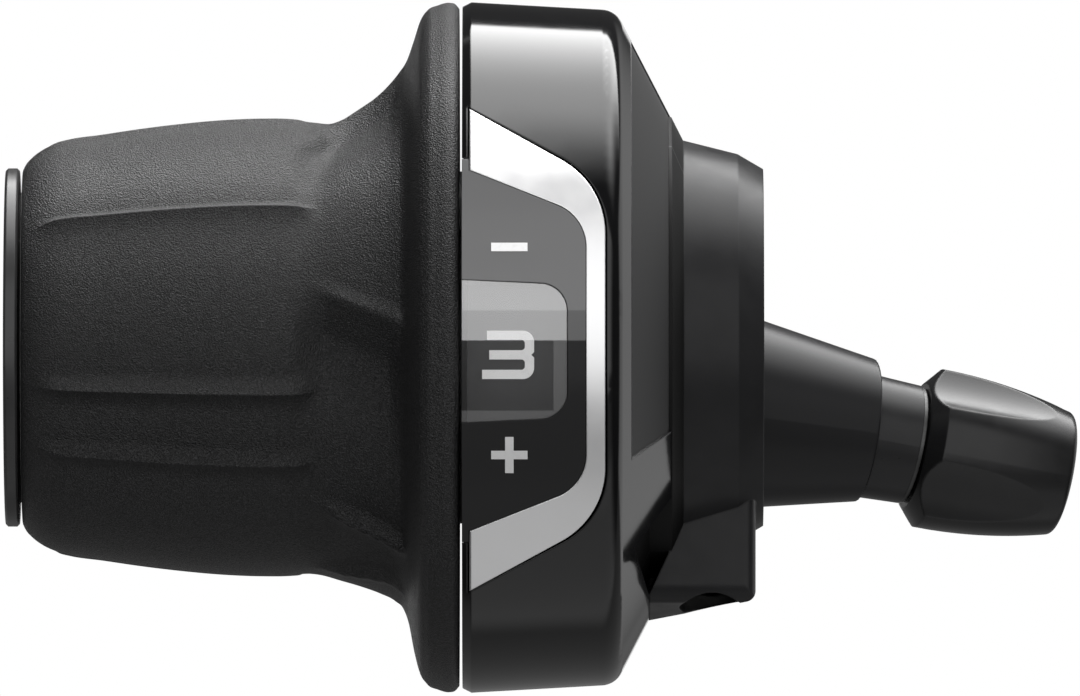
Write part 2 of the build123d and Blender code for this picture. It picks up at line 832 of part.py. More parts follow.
# Bracket: core tube, rear wall, far half of the drum, collar, clamp jaws and cable outlet
bracket_seat = cover_cone_wall + seat_clearance
bracket_back = bracket_seat + bracket_cone_wall
seat_radius = housing_inner - seat_clearance
edge_radius = cover_edge_radius - seat_clearance
pocket_radius = core_radius + thrust_shoulder
cover_edge_x = cone_x(cover_edge_radius) + seat_clearance
outlet_root = outlet_taper_length + outlet_base_length + outlet_root_length
guide_end = outlet_length + guide_bend_back - guide_socket
with BuildPart() as bracket_body:
    with BuildSketch(Plane.XZ):
        with BuildLine():
            Polyline(
                (core_end_x, bar_bore),
                (core_end_x, core_radius),
                (rear_wall_x, core_radius),
                (rear_wall_x, pocket_radius),
                (cone_x(pocket_radius, bracket_back), pocket_radius),
                (rear_wall_x, shoulder_radius - (rear_wall_x - shoulder_x + bracket_back) * cone_slope),
                (rear_wall_x, seat_radius),
                (cone_x(seat_radius, bracket_seat), seat_radius),
                (cone_x(edge_radius, bracket_seat), edge_radius),
                (cover_edge_x, edge_radius),
                (collar_x, collar_radius),
                (collar_end_x - collar_edge_length, collar_edge_radius),
                (collar_end_x, collar_end_radius),
                (collar_end_x, bar_bore),
                close=True,
            )
        make_face()
    revolve(axis=Axis.X)
    with BuildSketch(bar_plane(-cover_half_angle - parting_angle)):
        add(bracket_face)
    revolve(axis=Axis.X, revolution_arc=360 - 2 * (cover_half_angle + parting_angle))
    with BuildSketch(body_section) as outlet_profile:
        with BuildLine():
            Polyline(
                (-outlet_root, 0),
                (-outlet_root, outlet_root_radius),
                (-outlet_taper_length - outlet_base_length, outlet_base_radius),
                (-outlet_taper_length, outlet_base_radius),
                (0, outlet_end_radius),
                (0, 0),
                close=True,
            )
        make_face()
        fillet(outlet_profile.vertices().sort_by_distance((0, outlet_end_radius))[0], radius=outlet_round)
    revolve(axis=body_axis)
    add(near_jaw.part)
    add(screw_sockets.part)
    with BuildSketch(clamp_plane):
        with BuildLine():
            Polyline(
                (jaw_root - jaw_reach, 0),
                (bolt_offset + jaw_reach, 0),
                (bolt_offset + jaw_reach, jaw_depth),
                (jaw_root, jaw_depth + jaw_reach),
                close=True,
            )
        make_face()
    extrude(amount=lug_end_x - collar_x)
    post_foot = spring_half_length - post_length
    for post_centre in (-post_foot - post_length / 2, post_foot + post_length / 2):
        with BuildSketch(cross_plane(spring_x, detent_angle)):
            with Locations((post_centre, spring_flat + (post_outer - post_inner) / 2)):
                Rectangle(post_length, post_inner + post_outer)
        extrude(amount=post_depth)
    # Bar bore, clamp slot, bolt hole and nut pocket
    with BuildSketch(Plane.YZ.offset(core_end_x)):
        Circle(bar_bore)
    extrude(amount=collar_end_x - core_end_x, mode=Mode.SUBTRACT)
    with BuildSketch(clamp_plane.offset(-slot_start)):
        with Locations(((bolt_offset + jaw_reach) / 2 + slot_width, 0)):
            Rectangle(bolt_offset + jaw_reach + slot_width, slot_width)
    extrude(amount=collar_length + slot_start, mode=Mode.SUBTRACT)
    with BuildSketch(bolt_plane.offset(-bolt_seat)):
        Circle(bolt_radius + bolt_clearance)
    extrude(amount=bolt_seat + bolt_tip + bolt_clearance, mode=Mode.SUBTRACT)
    with BuildSketch(bolt_plane.offset(-bolt_seat)):
        Circle(bolt_head_radius + bolt_head_clearance)
    extrude(amount=-housing_radius, mode=Mode.SUBTRACT)
    nut_half = nut_width / 2 + nut_clearance
    nut_mouth = collar_end_x - bolt_x
    with BuildSketch(bolt_plane.offset(nut_seat - nut_clearance)):
        with Locations(((nut_mouth - nut_half) / 2, 0)):
            Rectangle(nut_mouth + nut_half, 2 * nut_half)
    extrude(amount=nut_thickness + 2 * nut_clearance, mode=Mode.SUBTRACT)
    # Cover screws: shank hole, driver hole from behind and room for the cover's bosses
    boss_room = housing_inner - screw_height + screw_boss_radius + boss_clearance
    for screw_side in (-1, 1):
        with BuildSketch(Plane.XZ.offset(-screw_head_y)):
            with Locations((screw_x, screw_side * screw_height)):
                Circle(screw_socket_radius)
        extrude(amount=-housing_radius, mode=Mode.SUBTRACT)
        with BuildSketch(Plane.XZ.offset(-screw_head_y)):
            with Locations((screw_x, screw_side * screw_height)):
                Circle(screw_radius + screw_hole_clearance)
        extrude(amount=housing_radius, mode=Mode.SUBTRACT)
        with BuildSketch(Plane.XZ.offset(-screw_parting_y)):
            with Locations((screw_x, screw_side * (housing_inner - boss_room / 2))):
                Rectangle(2 * (screw_boss_radius + boss_clearance), boss_room)
        extrude(amount=cover_boss_length + boss_clearance, mode=Mode.SUBTRACT)
    # Cable way: socket of the guide, cable hole and seat of the adjuster tube
    with BuildSketch(outlet_plane.offset(-outlet_root)):
        Circle(cable_hole_radius)
    extrude(amount=outlet_root, mode=Mode.SUBTRACT)
    with BuildSketch(outlet_plane.offset(-guide_end)):
        Circle(cable_hole_radius + guide_wall)
    extrude(amount=-guide_socket - guide_wall, mode=Mode.SUBTRACT)
    with BuildSketch(outlet_plane.offset(-tube_depth)):
        Circle(tube_radius + seat_clearance)
    extrude(amount=tube_depth + tube_length, mode=Mode.SUBTRACT)
    # Groove of the retainer ring and the seat of the detent spring
    with BuildSketch(Plane.XZ):
        with Locations((core_end_x + ring_thickness / 2, core_radius)):
            Rectangle(ring_bead_width, 2 * ring_bead)
    revolve(axis=Axis.X, mode=Mode.SUBTRACT)
    add(detent_spring.part, mode=Mode.SUBTRACT)
bracket_body.part.label = "bracket_body"
export_step(bracket_body.part, "parts/bracket_body.step")

# Retainer ring: snaps into a groove at the end of the core tube and keeps the grip on
with BuildPart() as retainer_ring:
    with BuildSketch(Plane.XZ) as ring_section:
        with BuildLine():
            Polyline(
                (core_end_x, core_radius),
                (core_end_x, sleeve_radius + ring_rise),
                (ring_face_x, sleeve_radius + ring_rise),
                (ring_face_x, core_radius),
                close=True,
            )
        make_face()
        chamfer(ring_section.vertices().group_by(Axis.Y)[-1], length=ring_chamfer)
        with Locations((core_end_x + ring_thickness / 2, core_radius)):
            Rectangle(ring_bead_width, 2 * ring_bead)
    revolve(axis=Axis.X)
retainer_ring.part.label = "retainer_ring"
export_step(retainer_ring.part, "parts/retainer_ring.step")

# Screw bosses of the cover
boss_web = housing_inner + housing_wall / 2 - screw_height
with BuildPart() as cover_bosses:
    for screw_side in (-1, 1):
        with BuildSketch(Plane.XZ.offset(-screw_parting_y + parting_gap)):
            with Locations((screw_x, screw_side * screw_height)):
                Circle(screw_boss_radius)
            with Locations((screw_x, screw_side * (screw_height + boss_web / 2))):
                Rectangle(2 * screw_boss_radius, boss_web)
            with Locations((screw_x, screw_side * screw_height)):
                Circle(screw_radius, mode=Mode.SUBTRACT)
        extrude(amount=cover_boss_length)
    add(housing_inside.part, mode=Mode.INTERSECT)

# Display cover: glossy near half of the drum and its cone, open for the display
display_depth = housing_radius + housing_wall
with BuildPart() as display_cover:
    with BuildSketch(bar_plane(cover_half_angle)):
        add(cover_face)
    revolve(axis=Axis.X, revolution_arc=2 * cover_half_angle)
    with BuildSketch(Plane.XZ):
        add(trim_opening_face)
        with Locations((housing_front_x, 0)):
            Rectangle(2 * trim_inset, 2 * (panel_lip_half + seat_clearance))
    extrude(amount=display_depth, mode=Mode.SUBTRACT)
    with BuildSketch(Plane.XZ.offset(-housing_wall - screw_parting_y)):
        with BuildLine():
            Polyline(
                (collar_x, notch_top_z),
                (collar_x - notch_middle_back, notch_middle_z),
                (collar_x - notch_foot_back, notch_foot_z),
                (collar_x - notch_foot_back, notch_low_z),
                (collar_x, notch_low_z),
                close=True,
            )
        make_face()
    extrude(amount=2 * display_depth, mode=Mode.SUBTRACT)
    plate_radius = shoulder_radius - plate_run * cone_slope
    plate_edge = cover_edge_radius - housing_wall
    with BuildSketch(bar_plane(cover_half_angle + 1)):
        with BuildLine():
            Polyline(
                (cone_x(plate_radius, plate_depth), plate_radius),
                (cone_x(plate_radius, -housing_wall), plate_radius),
                (cone_x(plate_edge, -housing_wall), plate_edge),
                (cone_x(plate_edge, plate_depth), plate_edge),
                close=True,
            )
        make_face()
    revolve(axis=Axis.X, revolution_arc=cover_half_angle + 1 - plate_low_angle, mode=Mode.SUBTRACT)
    add(cover_bosses.part)
display_cover.part.label = "display_cover"
export_step(display_cover.part, "parts/display_cover.step")

# Cover screws: pan heads behind the bracket's sockets, shanks in the cover's bosses
with BuildPart() as cover_screws:
    for screw_z in (-screw_height, screw_height):
        with BuildSketch(Plane.XZ.offset(-screw_head_y)):
            with Locations((screw_x, screw_z)):
                Circle(screw_radius)
        extrude(amount=screw_grip + screw_reach)
        with BuildSketch(Plane.XZ.offset(-screw_head_y)):
            with Locations((screw_x, screw_z)):
                Circle(screw_head_radius)
        extrude(amount=-screw_head_length)
        with BuildSketch(Plane.XZ.offset(-screw_head_y - screw_head_length)):
            with Locations((screw_x, screw_z)):
                Rectangle(screw_slot_width, 2 * screw_radius)
                Rectangle(2 * screw_radius, screw_slot_width)
        extrude(amount=screw_slot_depth, mode=Mode.SUBTRACT)
cover_screws.part.label = "cover_screws"
export_step(cover_screws.part, "parts/cover_screws.step")

# Display trim: bright C-shaped frame let into the cover
with BuildPart() as display_bezel:
    with BuildSketch(bar_plane(display_half_angle)):
        add(cover_face)
    revolve(axis=Axis.X, revolution_arc=2 * display_half_angle)
    with BuildSketch(Plane.XZ):
        add(trim_face)
        add(panel_opening_face, mode=Mode.SUBTRACT)
    extrude(amount=display_depth, mode=Mode.INTERSECT)
display_bezel.part.label = "display_bezel"
export_step(display_bezel.part, "parts/display_bezel.step")

# Direction marks: a minus above the window and a plus below it, inlaid in the panel
with BuildPart() as direction_marks:
    with BuildSketch(bar_plane(display_half_angle)):
        add(cover_face)
    revolve(axis=Axis.X, revolution_arc=2 * display_half_angle)
    with BuildSketch(Plane.XZ):
        with Locations((housing_front_x + mark_centre_run, mark_height)):
            Rectangle(mark_length, mark_stroke)
        with Locations((housing_front_x + mark_centre_run, -mark_height)):
            Rectangle(mark_length, mark_stroke)
            Rectangle(mark_stroke, mark_length)
    extrude(amount=display_depth, mode=Mode.INTERSECT)
    with BuildSketch(Plane.YZ.offset(housing_front_x)):
        Circle(housing_radius - mark_depth)
    extrude(amount=housing_length, mode=Mode.SUBTRACT)
direction_marks.part.label = "direction_marks"
export_step(direction_marks.part, "parts/direction_marks.step")

# Display panel: dark lens plate inside the trim, open for the gear window
with BuildPart() as display_panel:
    with BuildSketch(bar_plane(display_half_angle)):
        add(lens_face(0))
    revolve(axis=Axis.X, revolution_arc=2 * display_half_angle)
    with BuildSketch(Plane.XZ):
        add(panel_face)
        with Locations((housing_front_x, 0)):
            Rectangle(2 * (trim_inset + seat_clearance), 2 * (panel_front_half - seat_clearance))
            Rectangle(2 * (trim_inset - seat_clearance), 2 * panel_lip_half)
        add(window_opening_face, mode=Mode.SUBTRACT)
    extrude(amount=display_depth, mode=Mode.INTERSECT)
    add(direction_marks.part, mode=Mode.SUBTRACT)
display_panel.part.label = "display_panel"
export_step(display_panel.part, "parts/display_panel.step")

# Gear window: clear curved pane in front of the dial, nearly flush with the panel
with BuildPart() as gear_window:
    with BuildSketch(bar_plane(display_half_angle)):
        add(lens_face(window_sink))
    revolve(axis=Axis.X, revolution_arc=2 * display_half_angle)
    with BuildSketch(Plane.XZ):
        add(window_face)
    extrude(amount=display_depth, mode=Mode.INTERSECT)
gear_window.part.label = "gear_window"
export_step(gear_window.part, "parts/gear_window.step")

# Adjuster tube: insert in the outlet with a six-sided bore that keeps the adjuster bolt from turning
knob_bore = thread_radius + running_clearance
neck_radius = knob_bore + knob_neck_wall
neck_room = neck_radius + running_clearance
groove_start = knob_bead_run - running_clearance
groove_end = knob_bead_run + knob_bead_width + running_clearance
with BuildPart() as adjuster_tube:
    with BuildSketch(outlet_section):
        with BuildLine():
            Polyline(
                (-tube_depth, 0),
                (-tube_depth, tube_radius),
                (0, tube_radius),
                (tube_length, tube_tip_radius),
                (tube_length, 0),
                close=True,
            )
        make_face()
    revolve(axis=outlet_axis)
    with BuildSketch(outlet_section):
        with BuildLine():
            Polyline(
                (-hex_depth, 0),
                (-hex_depth, neck_room),
                (groove_start, neck_room),
                (groove_start, neck_room + knob_bead),
                (groove_end, neck_room + knob_bead),
                (groove_end, neck_room),
                (tube_length, neck_room),
                (tube_length, 0),
                close=True,
            )
        make_face()
    revolve(axis=outlet_axis, mode=Mode.SUBTRACT)
    with BuildSketch(outlet_plane.offset(-tube_depth)):
        RegularPolygon(hex_width / 2 + hex_clearance, 6, major_radius=False)
    extrude(amount=tube_depth, mode=Mode.SUBTRACT)
adjuster_tube.part.label = "adjuster_tube"
export_step(adjuster_tube.part, "parts/adjuster_tube.step")

# Adjuster washer: thin bright ring between the tube and the knob
with BuildPart() as adjuster_washer:
    with BuildSketch(outlet_plane.offset(tube_length)):
        Circle(tube_tip_radius - washer_inset)
        Circle(neck_room, mode=Mode.SUBTRACT)
    extrude(amount=washer_thickness)
adjuster_washer.part.label = "adjuster_washer"
export_step(adjuster_washer.part, "parts/adjuster_washer.step")

# Adjuster knob: fluted barrel, snapped into the tube by a beaded neck and threaded inside
knob_start = tube_length + washer_thickness + knob_gap
with BuildPart() as adjuster_knob:
    with BuildSketch(outlet_section) as knob_section:
        with BuildLine():
            knob_shoulder = (knob_start + knob_chamfer, knob_radius)
            knob_tip = (knob_start + knob_length, knob_end_radius)
            knob_middle = (
                (knob_shoulder[0] + knob_tip[0]) / 2,
                (knob_radius + knob_end_radius) / 2 + knob_bulge,
            )
            Polyline(
                (knob_start + knob_length, knob_bore),
                (knob_neck_gap - hex_depth, knob_bore),
                (knob_neck_gap - hex_depth, neck_radius),
                (knob_bead_run, neck_radius),
                (knob_bead_run, neck_radius + knob_bead),
                (knob_bead_run + knob_bead_width, neck_radius + knob_bead),
                (knob_bead_run + knob_bead_width, neck_radius),
                (knob_start, neck_radius),
                (knob_start, knob_lip_radius),
                knob_shoulder,
            )
            ThreePointArc(knob_shoulder, knob_middle, knob_tip)
            Line(knob_tip, (knob_start + knob_length, knob_bore))
        make_face()
        fillet(knob_section.vertices().sort_by_distance(knob_tip)[0], radius=knob_end_round)
    revolve(axis=outlet_axis)
    flute_centre = knob_radius - flute_depth + flute_radius
    with BuildSketch(outlet_plane.offset(knob_start)):
        with PolarLocations(flute_centre, flute_count, start_angle=flute_angle):
            Circle(flute_radius)
    extrude(amount=knob_length, mode=Mode.SUBTRACT)
adjuster_knob.part.label = "adjuster_knob"
export_step(adjuster_knob.part, "parts/adjuster_knob.step")

# Adjuster bolt: hollow screw, keyed in the tube, with the cable casing's socket in its end
bolt_end = knob_start + knob_length - bolt_end_inset
with BuildPart() as adjuster_bolt:
    with BuildSketch(outlet_plane.offset(-bolt_hex_run)):
        RegularPolygon(hex_width / 2, 6, major_radius=False)
    extrude(amount=bolt_hex_length)
    with BuildSketch(outlet_plane.offset(bolt_hex_length - bolt_hex_run)):
        Circle(thread_radius)
    extrude(amount=bolt_end + bolt_hex_run - bolt_hex_length)
    with BuildSketch(outlet_plane.offset(-bolt_hex_run)):
        Circle(cable_hole_radius)
    extrude(amount=bolt_end + bolt_hex_run, mode=Mode.SUBTRACT)
    with BuildSketch(outlet_plane.offset(bolt_end)):
        Circle(casing_radius)
    extrude(amount=-casing_depth, mode=Mode.SUBTRACT)
adjuster_bolt.part.label = "adjuster_bolt"
export_step(adjuster_bolt.part, "parts/adjuster_bolt.step")
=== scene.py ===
import math

import bpy
import numpy as np
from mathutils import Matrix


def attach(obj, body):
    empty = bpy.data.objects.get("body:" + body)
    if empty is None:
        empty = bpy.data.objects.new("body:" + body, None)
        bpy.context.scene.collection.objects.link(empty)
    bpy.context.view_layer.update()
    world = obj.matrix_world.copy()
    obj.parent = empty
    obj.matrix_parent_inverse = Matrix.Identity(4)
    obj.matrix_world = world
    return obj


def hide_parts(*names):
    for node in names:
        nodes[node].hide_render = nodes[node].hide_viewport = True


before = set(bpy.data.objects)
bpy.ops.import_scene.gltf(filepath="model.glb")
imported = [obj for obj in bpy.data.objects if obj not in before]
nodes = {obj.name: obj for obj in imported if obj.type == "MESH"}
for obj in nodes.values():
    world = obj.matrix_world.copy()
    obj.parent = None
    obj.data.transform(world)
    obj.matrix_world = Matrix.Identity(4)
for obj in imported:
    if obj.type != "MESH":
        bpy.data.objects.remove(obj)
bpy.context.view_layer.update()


# Bracket: the fixed body of the shifter, one moulding of glass-filled black nylon with the core tube,
# the clamp collar, the pinch lug and the slanted cable outlet. Its tool was spark-eroded, so the skin is
# satin with a very fine grain, and handling has left the edges a little paler.
mm = 0.001
noise_range = (0.3, 0.7)
mix_colour_inputs, mix_colour_output = (6, 7), 2
edge_samples = 6
edge_agreement = (0.82, 0.995)
patch_size, shine_patch_size = 3.1 * mm, 1.7 * mm
patch_shade, least_wear, shine_change = 0.82, 0.25, 0.12
outlet_shade_start = (24.2 * mm, 24.5 * mm)
collar_start = (17.85 * mm, 17.95 * mm)
near_side = (-0.5 * mm, 0.5 * mm)
lug_face_y, lug_face_reach = -9.0 * mm, (0.04 * mm, 0.07 * mm)
lug_foot = (-18.65 * mm, -18.6 * mm)


def add_node(tree, kind, inputs=None, **options):
    """Adds a node to a tree, sets its options, and gives each named input a value or a link."""
    made = tree.nodes.new(kind)
    for name, value in options.items():
        setattr(made, name, value)
    for name, value in (inputs or {}).items():
        if isinstance(value, bpy.types.NodeSocket):
            tree.links.new(value, made.inputs[name])
        else:
            made.inputs[name].default_value = value
    return made


def start_material(name):
    """An empty node material: gives the material, its tree, its main shader and the Object coordinate."""
    material = bpy.data.materials.new(name)
    material.use_nodes = True
    tree = material.node_tree
    shader = tree.nodes["Principled BSDF"]
    place = add_node(tree, "ShaderNodeTexCoord").outputs["Object"]
    return material, tree, shader, place


def connect(tree, shader, sockets):
    """Links each socket to the shader's input of that name."""
    for name, socket in sockets.items():
        tree.links.new(socket, shader.inputs[name])


def calculate(tree, operation, first, second=0.0):
    """One Math node on two values or sockets."""
    return add_node(tree, "ShaderNodeMath", {0: first, 1: second}, operation=operation).outputs["Value"]


def all_of(tree, share, *others):
    """The product of several shares."""
    for other in others:
        share = calculate(tree, "MULTIPLY", share, other)
    return share


def axis_value(tree, place, axis):
    """One coordinate of a point or a direction."""
    return add_node(tree, "ShaderNodeSeparateXYZ", {"Vector": place}).outputs[axis]


def cloud(tree, place, size, detail):
    """Soft noise with patches of about the given size in metres."""
    noise = add_node(tree, "ShaderNodeTexNoise", {"Vector": place, "Scale": 1 / size, "Detail": detail})
    return noise.outputs["Fac"]


def spread(tree, value, low, high, limits=noise_range, curve="LINEAR"):
    """Carries a value between two limits over to the range from low to high, without going past it."""
    start, end = limits
    ranged = add_node(tree, "ShaderNodeMapRange", {"Value": value, "From Min": start, "From Max": end,
                                                   "To Min": low, "To Max": high}, interpolation_type=curve)
    return ranged.outputs["Result"]


def rising(tree, value, limits=noise_range, curve="LINEAR"):
    """Nought up to the lower limit and one from the upper limit on."""
    return spread(tree, value, 0.0, 1.0, limits, curve)


def falling(tree, value, limits, curve="LINEAR"):
    """One up to the lower limit and nought from the upper limit on."""
    return spread(tree, value, 1.0, 0.0, limits, curve)


def mix_values(tree, share, first, second):
    """Mixes two numbers or value sockets by a share."""
    return add_node(tree, "ShaderNodeMix", {"Factor": share, "A": first, "B": second}).outputs["Result"]


def blend_colours(tree, share, first, second):
    """Mixes two colours, each given as three levels or a socket, by a share."""
    mix = add_node(tree, "ShaderNodeMix", {"Factor": share}, data_type="RGBA")
    for number, colour in zip(mix_colour_inputs, (first, second)):
        if isinstance(colour, bpy.types.NodeSocket):
            tree.links.new(colour, mix.inputs[number])
        else:
            mix.inputs[number].default_value = (*colour, 1.0)
    return mix.outputs[mix_colour_output]


def shaded(colour, share):
    """A colour taken down to a share of its brightness."""
    return tuple(share * level for level in colour)


def rounded_normal(tree, radius):
    """The surface's normal with its edges rounded over a radius in metres."""
    return add_node(tree, "ShaderNodeBevel", {"Radius": radius}, samples=edge_samples).outputs["Normal"]


def raise_skin(tree, shader, height, depth, normal=None):
    """Raises the skin by depth where height is one, on top of a rounded normal if there is one."""
    raised = add_node(tree, "ShaderNodeBump", {"Height": height, "Distance": depth, "Strength": 1.0})
    if normal is not None:
        tree.links.new(normal, raised.inputs["Normal"])
    connect(tree, shader, {"Normal": raised.outputs["Normal"]})


def moulded_plastic(name, colour, worn_colour, roughness, specular, grain, grain_depth, edge):
    """Moulded plastic: slow noise varies its colour and shine, fine noise of the size of grain raises its
    skin by grain_depth, and edges are rounded over the radius edge. Where the rounded normal leaves the
    flat one, past the limits of edge_agreement, the colour goes to worn_colour."""
    material, tree, shader, place = start_material(name)
    rounded = rounded_normal(tree, edge)
    flat = add_node(tree, "ShaderNodeNewGeometry").outputs["True Normal"]
    agreement = add_node(tree, "ShaderNodeVectorMath", {0: rounded, 1: flat}, operation="DOT_PRODUCT")
    at_edge = falling(tree, agreement.outputs["Value"], edge_agreement)
    patches = cloud(tree, place, patch_size, detail=4.0)
    wear = all_of(tree, at_edge, spread(tree, patches, least_wear, 1.0))
    skin = blend_colours(tree, rising(tree, patches), shaded(colour, patch_shade), colour)
    skin = blend_colours(tree, wear, skin, worn_colour)
    shine_patches = cloud(tree, place, shine_patch_size, detail=3.0)
    shine = spread(tree, shine_patches, roughness * (1 - shine_change), roughness * (1 + shine_change))
    connect(tree, shader, {"Base Color": skin, "Roughness": shine})
    shader.inputs["Specular IOR Level"].default_value = specular
    raise_skin(tree, shader, cloud(tree, place, grain, detail=3.0), grain_depth, rounded)
    return material


def refinish(material, share, colour, roughness):
    """Gives a part of a finished material, picked by a share, another colour and shine."""
    tree = material.node_tree
    shader = tree.nodes["Principled BSDF"]
    skin = shader.inputs["Base Color"].links[0].from_socket
    shine = shader.inputs["Roughness"].links[0].from_socket
    connect(tree, shader, {"Base Color": blend_colours(tree, share, skin, colour),
                           "Roughness": mix_values(tree, share, shine, roughness)})


def finish_nodes(material, *names):
    """Puts one material into every slot of the named CAD nodes."""
    for name in names:
        for slot in nodes[name].material_slots:
            slot.material = material


def bracket_nylon():
    """Satin nylon, painted a little darker on the cable outlet as painted shade, and painted near black and
    dull in the groove between cover and collar as a painted shadow: the groove lies before the collar's
    start, on the rider's side, above the lug's foot and off the plane of its face."""
    material = moulded_plastic("satin_black_nylon", colour=(0.019, 0.019, 0.02),
                               worn_colour=(0.045, 0.045, 0.046), roughness=0.33, specular=0.18,
                               grain=0.16 * mm, grain_depth=0.004 * mm, edge=0.22 * mm)
    tree = material.node_tree
    place = add_node(tree, "ShaderNodeTexCoord").outputs["Object"]
    along, across, height = (axis_value(tree, place, axis) for axis in "XYZ")
    # The outlet's darker colour is painted shade, where less light reaches it.
    refinish(material, rising(tree, along, outlet_shade_start), colour=(0.017, 0.017, 0.018), roughness=0.31)
    # The groove's near black colour is a painted shadow between cover and collar.
    before_collar = falling(tree, along, collar_start)
    nearer = falling(tree, across, near_side)
    from_face = calculate(tree, "ABSOLUTE", calculate(tree, "SUBTRACT", across, lug_face_y))
    off_face = rising(tree, from_face, lug_face_reach)
    above_foot = rising(tree, height, lug_foot)
    groove_shade = all_of(tree, before_collar, nearer, off_face, above_foot)
    refinish(material, groove_shade, colour=(0.004, 0.004, 0.004), roughness=0.6)
    return material


finish_nodes(bracket_nylon(), "bracket_body")


# Cable guide, spool, index ring and sleeve: the working parts inside, moulded in plain grey acetal.
# They are seen only through the open ends and the slots, so they keep a dull, slightly waxy skin.
inner_grey = moulded_plastic("inner_grey_acetal", colour=(0.16, 0.16, 0.158), worn_colour=(0.24, 0.24, 0.238),
                             roughness=0.42, specular=0.4, grain=0.2 * mm, grain_depth=0.004 * mm,
                             edge=0.15 * mm)
finish_nodes(inner_grey, "cable_guide", "cable_spool", "index_ring", "grip_sleeve")


# Detent spring, clamp bolt, clamp nut and cover screws: zinc-plated steel with fine turning and
# drawing marks and a slightly cloudy plating.
plating_patch_size, plating_shade = 2.3 * mm, 0.8
mark_stretch = (0.12, 1.0, 1.0)
mark_shine = (0.8, 1.25)
metal_edge = 0.12 * mm


def bare_metal(name, colour, roughness, mark_size, mark_depth):
    """Bare metal: noise stretched along the bar gives tool marks, and slow noise clouds the colour."""
    material, tree, shader, place = start_material(name)
    stretched = add_node(tree, "ShaderNodeMapping", {"Vector": place, "Scale": mark_stretch})
    marks = cloud(tree, stretched.outputs["Vector"], mark_size, detail=5.0)
    clouded = cloud(tree, place, plating_patch_size, detail=3.0)
    skin = blend_colours(tree, rising(tree, clouded), shaded(colour, plating_shade), colour)
    smoothest, roughest = mark_shine
    shine = spread(tree, marks, roughness * smoothest, roughness * roughest)
    connect(tree, shader, {"Base Color": skin, "Roughness": shine})
    shader.inputs["Metallic"].default_value = 1.0
    raise_skin(tree, shader, marks, mark_depth, rounded_normal(tree, metal_edge))
    return material


zinc_steel = bare_metal("zinc_plated_steel", colour=(0.46, 0.46, 0.45), roughness=0.32,
                        mark_size=0.12 * mm, mark_depth=0.003 * mm)
finish_nodes(zinc_steel, "detent_spring", "clamp_bolt", "clamp_nut", "cover_screws")


# Number dial: the dark drum behind the window that turns with the grip, a matt moulding.
# Its numbers are pad-printed in white ink, a thin layer with slightly uneven cover, and the two direction
# marks on the panel are printed in silver ink.
dial_dark = moulded_plastic("dial_dark_plastic", colour=(0.05, 0.05, 0.051), worn_colour=(0.06, 0.06, 0.06),
                            roughness=0.5, specular=0.1, grain=0.2 * mm, grain_depth=0.003 * mm,
                            edge=0.1 * mm)
finish_nodes(dial_dark, "number_dial")
ink_patch_size, ink_cover_limits = 0.5 * mm, (0.2, 0.45)
ink_grain, ink_grain_depth = 0.12 * mm, 0.002 * mm
ink_shine = (0.38, 0.5)


def printed_ink(name, colour, thin_colour, metal):
    """Printed ink with a share of metal flakes: noise thins the layer here and there, and fine noise
    roughens it."""
    material, tree, shader, place = start_material(name)
    cover = rising(tree, cloud(tree, place, ink_patch_size, detail=3.0), ink_cover_limits)
    fine = cloud(tree, place, ink_grain, detail=3.0)
    connect(tree, shader, {"Base Color": blend_colours(tree, cover, thin_colour, colour),
                           "Roughness": spread(tree, fine, *ink_shine)})
    shader.inputs["Metallic"].default_value = metal
    raise_skin(tree, shader, fine, ink_grain_depth)
    return material


white_ink = printed_ink("white_printed_ink", colour=(0.82, 0.82, 0.82), thin_colour=(0.75, 0.75, 0.75),
                        metal=0.0)
silver_ink = printed_ink("silver_printed_ink", colour=(0.9, 0.9, 0.9), thin_colour=(0.82, 0.82, 0.82),
                         metal=0.8)
finish_nodes(white_ink, "dial_digits")
finish_nodes(silver_ink, "direction_marks")


# Display cover: the polished near half of the drum with its cone, screwed to the bracket from behind.
# Polished black ABS has a deep clear shine with faint flow marks from the mould.
plate_start_x, plate_start_softness = 13.72 * mm, 0.04 * mm
plate_end_angle, plate_end_softness = -20.5, 0.2865


def around(middle, reach):
    """Two limits at equal reach on either side of a middle."""
    return middle - reach, middle + reach


def angle_round_bar(tree, place):
    """The angle of a point round the bar in degrees, counted from the camera's side upwards."""
    outwards = calculate(tree, "MULTIPLY", axis_value(tree, place, "Y"), -1.0)
    return calculate(tree, "DEGREES", calculate(tree, "ARCTAN2", axis_value(tree, place, "Z"), outwards))


def polished_cover():
    """Polished plastic, with the sunk plate on the cone left satin: it lies beyond its start along the bar
    and above its end angle round the bar."""
    material = moulded_plastic("gloss_black_cover", colour=(0.006, 0.006, 0.0065),
                               worn_colour=(0.014, 0.014, 0.015), roughness=0.09, specular=0.5,
                               grain=1.6 * mm, grain_depth=0.0006 * mm, edge=0.2 * mm)
    tree = material.node_tree
    place = add_node(tree, "ShaderNodeTexCoord").outputs["Object"]
    above = rising(tree, angle_round_bar(tree, place), around(plate_end_angle, plate_end_softness))
    beyond = rising(tree, axis_value(tree, place, "X"), around(plate_start_x, plate_start_softness))
    refinish(material, all_of(tree, above, beyond), colour=(0.006, 0.006, 0.0065), roughness=0.56)
    return material


finish_nodes(polished_cover(), "display_cover")


# Display panel: the smoked lens around the window. It is moulded clear and backed by print, and its colour is
# painted in three tones by height as a painted reflection: light above the middle line and black below it,
# under a smooth polished face.
reflection_line, upper_reflection_line, line_softness = 0.85 * mm, 3.25 * mm, 0.06 * mm
reflection_fade_heights = (3.0 * mm, 15.0 * mm)
painted_reflection_low, painted_reflection_middle = (0.024, 0.024, 0.0245), (0.15, 0.15, 0.151)
painted_reflection_upper, painted_reflection_faded = (0.222, 0.222, 0.224), (0.145, 0.145, 0.146)
lens_patch_size, lens_shine = 1.3 * mm, (0.13, 0.17)
lens_specular, lens_edge = 0.08, 0.12 * mm


